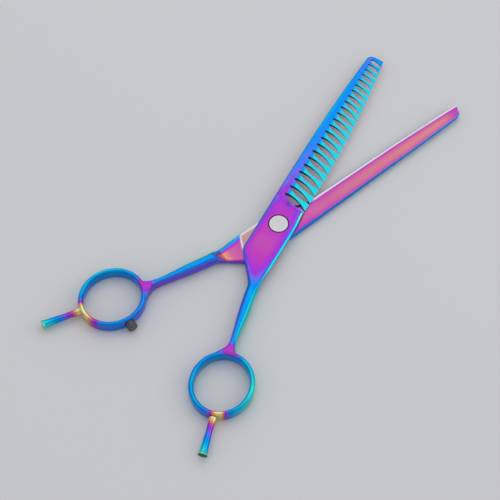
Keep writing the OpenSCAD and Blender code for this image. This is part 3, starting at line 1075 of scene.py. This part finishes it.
def finger_rest(name, place, material, body, node):
    flange, collar, waist, flare = 0.45, 1.6, 1.25, REST_FLANGE_R
    end = REST_LENGTH
    profile = [(0, -REST_THREAD_LENGTH), (REST_THREAD_R - 0.2, -REST_THREAD_LENGTH),
               (REST_THREAD_R, 0.2 - REST_THREAD_LENGTH), (REST_THREAD_R, 0),
               (collar - 0.1, 0), (collar, 0.1), (collar - 0.05, 1),
               (collar - 0.15, end * 0.12), (collar - 0.27, end * 0.19),
               (waist + 0.04, end * 0.28), (waist, end * 0.36), (waist + 0.1, end * 0.5),
               (waist + 0.27, end * 0.77), (waist + 0.43, end - 1), (flare, end - flange),
               (flare, end - 0.1), (flare - 0.1, end), (0, end)]
    turned_piece(name, profile, place @ on_ring(REST_TURN, REST_SEAT), material, body,
                 node, 0.4, rest_film_and_shade)


def pivot_pieces():
    shoulder = -NUT_FLOOR_W + 0.1
    top = HEAD_SEAT_W + HEAD_THICKNESS
    stud = [(0, -HALF_HEIGHT), (THREAD_R, -HALF_HEIGHT), (THREAD_R, shoulder),
            (BARREL_R, shoulder), (BARREL_R, HEAD_SEAT_W), (HEAD_R, HEAD_SEAT_W),
            (HEAD_R, top - 0.15), (HEAD_R - 0.15, top), (HEAD_R * 0.5, top), (0, top)]
    turned_piece("pivot_stud_visual", stud, PLACE_PIVOT, satin, "toothed_side",
                 "pivot_stud")
    bushing_bore = BARREL_R + RUNNING_CLEARANCE
    bushing = [(bushing_bore, -NUT_FLOOR_W), (BUSHING_R, -NUT_FLOOR_W),
               (BUSHING_R, -WASHER_SINK), (bushing_bore, -WASHER_SINK)]
    turned_piece("pivot_bushing_visual", bushing, PLACE_PIVOT, bronze, "plain_side",
                 "pivot_bushing", 0.05)
    low, high = -WASHER_SINK, -WASHER_SINK + WASHER_THICKNESS - RUNNING_CLEARANCE
    washer = [(BARREL_R + 0.1, low), (WASHER_R, low), (WASHER_R, high), (BARREL_R + 0.1, high)]
    turned_piece("glide_washer_visual", washer, PLACE_PIVOT, polymer, "plain_side",
                 "glide_washer", 0.05)
    floor = -NUT_FLOOR_W - SPRING_THICKNESS
    inner, outer = THREAD_R + 0.1, NUT_POCKET_R - 0.15
    spring = [(inner, floor), (inner + 0.3, floor),
              (outer, floor + SPRING_THICKNESS - SPRING_SHEET), (outer, floor + SPRING_THICKNESS),
              (outer - 0.3, floor + SPRING_THICKNESS), (inner, floor + SPRING_SHEET)]
    turned_piece("spring_washer_visual", spring, PLACE_PIVOT, satin, "plain_side",
                 "spring_washer", 0.04)


def tension_nut():
    base, bore, bevel = -HALF_HEIGHT, THREAD_R + RUNNING_CLEARANCE, 0.12
    profile = [(bore, base), (NUT_R - bevel, base), (NUT_R, base + bevel),
               (NUT_R, base + NUT_THICKNESS), (bore, base + NUT_THICKNESS)]
    obj = new_object("tension_nut_visual", *lathe_mesh(profile, 128))
    key_hole = lathe_mesh([(0, -CUT_PAST), (KEY_HOLE_R, -CUT_PAST), (KEY_HOLE_R, KEY_HOLE_DEPTH),
                           (0, KEY_HOLE_DEPTH)], 32)
    key_holes = [moved(key_hole, Matrix.Translation((side * KEY_HOLE_OFFSET, 0, base)))
                 for side in (-1, 1)]
    boolean(obj, join_meshes(key_holes), "DIFFERENCE")
    shade(obj)
    finish_piece(obj, PLACE_PIVOT, dark_steel, "tension_adjuster", "tension_nut")


def bumper():
    profile = [(0, -BUMPER_STEM_LENGTH), (BUMPER_STEM_R, -BUMPER_STEM_LENGTH), (BUMPER_STEM_R, 0),
               (BUMPER_R, 0), (BUMPER_R, BUMPER_LENGTH - 0.3), (BUMPER_R - 0.3, BUMPER_LENGTH),
               (0, BUMPER_LENGTH)]
    turned_piece("bumper_visual", profile, PLACE_PLAIN @ on_ring(BUMPER_TURN, BUMPER_SEAT), rubber,
                 "plain_side", "bumper", 0.25)


toothed_half()
plain_half()
pivot_pieces()
tension_nut()
bumper()
finger_rest("toothed_rest_visual", PLACE_TOOTHED, coat_toothed, "toothed_rest",
            "toothed_finger_rest")
finger_rest("plain_rest_visual", PLACE_PLAIN, coat_plain, "plain_rest", "plain_finger_rest")


# ---- Floor and light -------------------------------------------------------------------------

def make_floor():
    size = 3.0  # metres
    mesh = bpy.data.meshes.new("floor")
    mesh.from_pydata([(-size, -size, 0), (size, -size, 0), (size, size, 0), (-size, size, 0)], [],
                     [(0, 1, 2, 3)])
    floor = bpy.data.objects.new("floor", mesh)
    bpy.context.scene.collection.objects.link(floor)
    material, _, shader = node_material("floor")
    shader.inputs["Base Color"].default_value = linear(228, 228, 230)
    shader.inputs["Roughness"].default_value = 0.8
    mesh.materials.append(material)


def area_light(name, place, size, power):
    """A rectangular light that points at the frame's origin."""
    data = bpy.data.lights.new(name, "AREA")
    data.shape = "RECTANGLE"
    data.size, data.size_y = size
    data.energy = power
    light = bpy.data.objects.new(name, data)
    light.location = place
    light.rotation_euler = (-Vector(place)).to_track_quat("-Z", "Y").to_euler()
    bpy.context.scene.collection.objects.link(light)


def make_light():
    world = bpy.data.worlds.new("studio")
    bpy.context.scene.world = world
    world.use_nodes = True
    background = world.node_tree.nodes["Background"]
    background.inputs["Color"].default_value = (0.97, 0.98, 1.0, 1)
    background.inputs["Strength"].default_value = 0.6
    area_light("softbox_over", (0.42, 0.36, 0.98), (1.1, 1.0), 2.0)
    area_light("softbox_front", (0.62, -0.68, 0.6), (0.5, 0.5), 0.9)
    bpy.context.scene.view_settings.view_transform = "Standard"


make_floor()
make_light()
